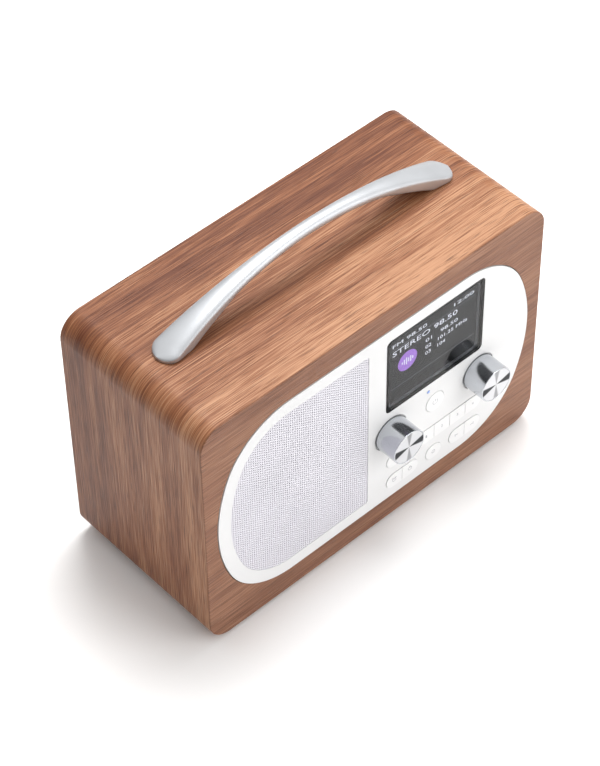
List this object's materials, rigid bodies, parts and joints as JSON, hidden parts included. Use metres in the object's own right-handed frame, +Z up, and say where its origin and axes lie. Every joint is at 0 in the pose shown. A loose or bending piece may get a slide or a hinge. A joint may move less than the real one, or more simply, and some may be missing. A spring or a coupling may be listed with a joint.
{
  "type": "tabletop radio",
  "caption": "Portable tabletop digital radio: walnut-veneered box, white oval front with speaker grille, colour display, chrome knobs and keys, arched metal carrying handle.",
  "frame": {"origin": "middle of the whole object's box in plan, on the surface its feet stand on", "axes": "+Z up, -Y out of the front, +X to the right seen from the front"},
  "size_m": [0.23, 0.1274, 0.186],
  "materials": {
    "walnut": "satin oiled walnut veneer",
    "fibreboard": "raw fibreboard",
    "foot_rubber": "matt",
    "white_moulding": "fine satin white",
    "key_plastic": "fine satin white",
    "grille_metal": "satin white powder coat",
    "grille_cloth": "open acoustic cloth",
    "display_glass": "smoked, polished",
    "clear_acrylic": "clear",
    "black_moulding": "fine texture",
    "circuit_board": "green solder mask",
    "knob_chrome": "spun end, polished side",
    "steel": "zinc plated",
    "encoder_metal": "nickel plated",
    "basket_paint": "black",
    "ferrite": "sintered ferrite",
    "copper_coil": "enamelled wire",
    "paper_cone": "pressed paper",
    "surround_rubber": "half-roll",
    "spider_cloth": "resin-stiffened cloth",
    "pack_sleeve": "shrink sleeve",
    "socket_plastic": "moulded",
    "antenna_chrome": "polished",
    "satin_aluminium": "satin anodised",
    "black_screw": "black zinc"
  },
  "bodies": {
    "radio": {"antenna_base": "antenna_chrome", "aux_socket": "socket_plastic", "back_panel": "black_moulding", "back_screws": "black_screw", "battery_bay": "black_moulding", "battery_pack": "pack_sleeve", "cabinet_wrap": "walnut", "control_board": "circuit_board", "dc_inlet": "socket_plastic", "display_module": "black_moulding", "display_window": "display_glass", "fascia": "white_moulding", "front_board": "fibreboard", "front_veneer": "walnut", "grille_cloth": "grille_cloth", "handle": "satin_aluminium", "handle_screws": "steel", "headphone_socket": "socket_plastic", "key_switches": "black_moulding", "light_pipe": "clear_acrylic", "main_board": "circuit_board", "rubber_feet": "foot_rubber", "select_encoder": "encoder_metal", "service_socket": "encoder_metal", "small_screws": "steel", "speaker_basket": "basket_paint", "speaker_grille": "grille_metal", "speaker_magnet": "ferrite", "speaker_spider": "spider_cloth", "speaker_surround": "surround_rubber", "speaker_top_plate": "steel", "speaker_yoke": "steel", "volume_encoder": "encoder_metal"},
    "volume_knob": {"volume_knob": "knob_chrome", "volume_shaft": "steel"},
    "select_plunger": {"select_plunger": "black_moulding"},
    "select_knob": {"select_knob": "knob_chrome", "select_shaft": "steel"},
    "menu_key": {"menu_key": "key_plastic"},
    "preset_key_1": {"preset_key_1": "key_plastic"},
    "preset_key_2": {"preset_key_2": "key_plastic"},
    "preset_key_3": {"preset_key_3": "key_plastic"},
    "preset_key_4": {"preset_key_4": "key_plastic"},
    "alarm_key": {"alarm_key": "key_plastic"},
    "timer_key": {"timer_key": "key_plastic"},
    "enter_key": {"enter_key": "key_plastic"},
    "previous_key": {"previous_key": "key_plastic"},
    "next_key": {"next_key": "key_plastic"},
    "standby_key": {"standby_key": "key_plastic"},
    "speaker_cone": {"speaker_cone": "paper_cone", "dust_cap": "paper_cone", "voice_coil": "copper_coil"},
    "battery_door": {"battery_door": "black_moulding"},
    "antenna_swivel": {"antenna_knuckle": "antenna_chrome", "antenna_pin": "steel"},
    "antenna_tube_1": {"antenna_tube_1": "antenna_chrome"},
    "antenna_tube_2": {"antenna_tube_2": "antenna_chrome"},
    "antenna_tube_3": {"antenna_tube_3": "antenna_chrome"},
    "antenna_tube_4": {"antenna_tube_4": "antenna_chrome"},
    "antenna_tube_5": {"antenna_tube_5": "antenna_chrome"}
  },
  "joints": [
    {"name": "volume_turn", "type": "hinge", "parent": "radio", "child": "volume_knob", "pos_m": [0.00895, -0.05005, 0.0685], "axis": [0, 1, 0], "continuous": true},
    {"name": "select_push", "type": "slide", "parent": "radio", "child": "select_plunger", "axis": [0, 1, 0], "range_m": [0, 0.0005], "stiffness_N_per_m": 1500},
    {"name": "select_turn", "type": "hinge", "parent": "select_plunger", "child": "select_knob", "pos_m": [0.07145, -0.05005, 0.0685], "axis": [0, 1, 0], "continuous": true},
    {"name": "menu_press", "type": "slide", "parent": "radio", "child": "menu_key", "axis": [0, 1, 0], "range_m": [0, 0.0005], "stiffness_N_per_m": 1000},
    {"name": "preset_1_press", "type": "slide", "parent": "radio", "child": "preset_key_1", "axis": [0, 1, 0], "range_m": [0, 0.0005], "stiffness_N_per_m": 1000},
    {"name": "preset_2_press", "type": "slide", "parent": "radio", "child": "preset_key_2", "axis": [0, 1, 0], "range_m": [0, 0.0005], "stiffness_N_per_m": 1000},
    {"name": "preset_3_press", "type": "slide", "parent": "radio", "child": "preset_key_3", "axis": [0, 1, 0], "range_m": [0, 0.0005], "stiffness_N_per_m": 1000},
    {"name": "preset_4_press", "type": "slide", "parent": "radio", "child": "preset_key_4", "axis": [0, 1, 0], "range_m": [0, 0.0005], "stiffness_N_per_m": 1000},
    {"name": "alarm_press", "type": "slide", "parent": "radio", "child": "alarm_key", "axis": [0, 1, 0], "range_m": [0, 0.0005], "stiffness_N_per_m": 1000},
    {"name": "timer_press", "type": "slide", "parent": "radio", "child": "timer_key", "axis": [0, 1, 0], "range_m": [0, 0.0005], "stiffness_N_per_m": 1000},
    {"name": "enter_press", "type": "slide", "parent": "radio", "child": "enter_key", "axis": [0, 1, 0], "range_m": [0, 0.0005], "stiffness_N_per_m": 1000},
    {"name": "previous_press", "type": "slide", "parent": "radio", "child": "previous_key", "axis": [0, 1, 0], "range_m": [0, 0.0005], "stiffness_N_per_m": 1000},
    {"name": "next_press", "type": "slide", "parent": "radio", "child": "next_key", "axis": [0, 1, 0], "range_m": [0, 0.0005], "stiffness_N_per_m": 1000},
    {"name": "standby_press", "type": "slide", "parent": "radio", "child": "standby_key", "axis": [0, 1, 0], "range_m": [0, 0.0005], "stiffness_N_per_m": 1000},
    {"name": "cone_stroke", "type": "slide", "parent": "radio", "child": "speaker_cone", "axis": [0, 1, 0], "range_m": [-0.002, 0.002], "stiffness_N_per_m": 1500, "deforming": ["speaker_surround", "speaker_spider"]},
    {"name": "battery_door_off", "type": "slide", "parent": "radio", "child": "battery_door", "axis": [0, 1, 0], "range_m": [0, 0.02]},
    {"name": "antenna_swing", "type": "hinge", "parent": "radio", "child": "antenna_swivel", "pos_m": [0.092, 0.05975, 0.14], "axis": [0, 1, 0], "range_deg": [0, 180]},
    {"name": "antenna_tilt", "type": "hinge", "parent": "antenna_swivel", "child": "antenna_tube_1", "pos_m": [0.092, 0.05975, 0.14], "axis": [0, 0, -1], "range_deg": [0, 90]},
    {"name": "antenna_section_2", "type": "slide", "parent": "antenna_tube_1", "child": "antenna_tube_2", "axis": [-1, 0, 0], "range_m": [0, 0.115]},
    {"name": "antenna_section_3", "type": "slide", "parent": "antenna_tube_2", "child": "antenna_tube_3", "axis": [-1, 0, 0], "range_m": [0, 0.115]},
    {"name": "antenna_section_4", "type": "slide", "parent": "antenna_tube_3", "child": "antenna_tube_4", "axis": [-1, 0, 0], "range_m": [0, 0.115]},
    {"name": "antenna_section_5", "type": "slide", "parent": "antenna_tube_4", "child": "antenna_tube_5", "axis": [-1, 0, 0], "range_m": [0, 0.115]}
  ]
}
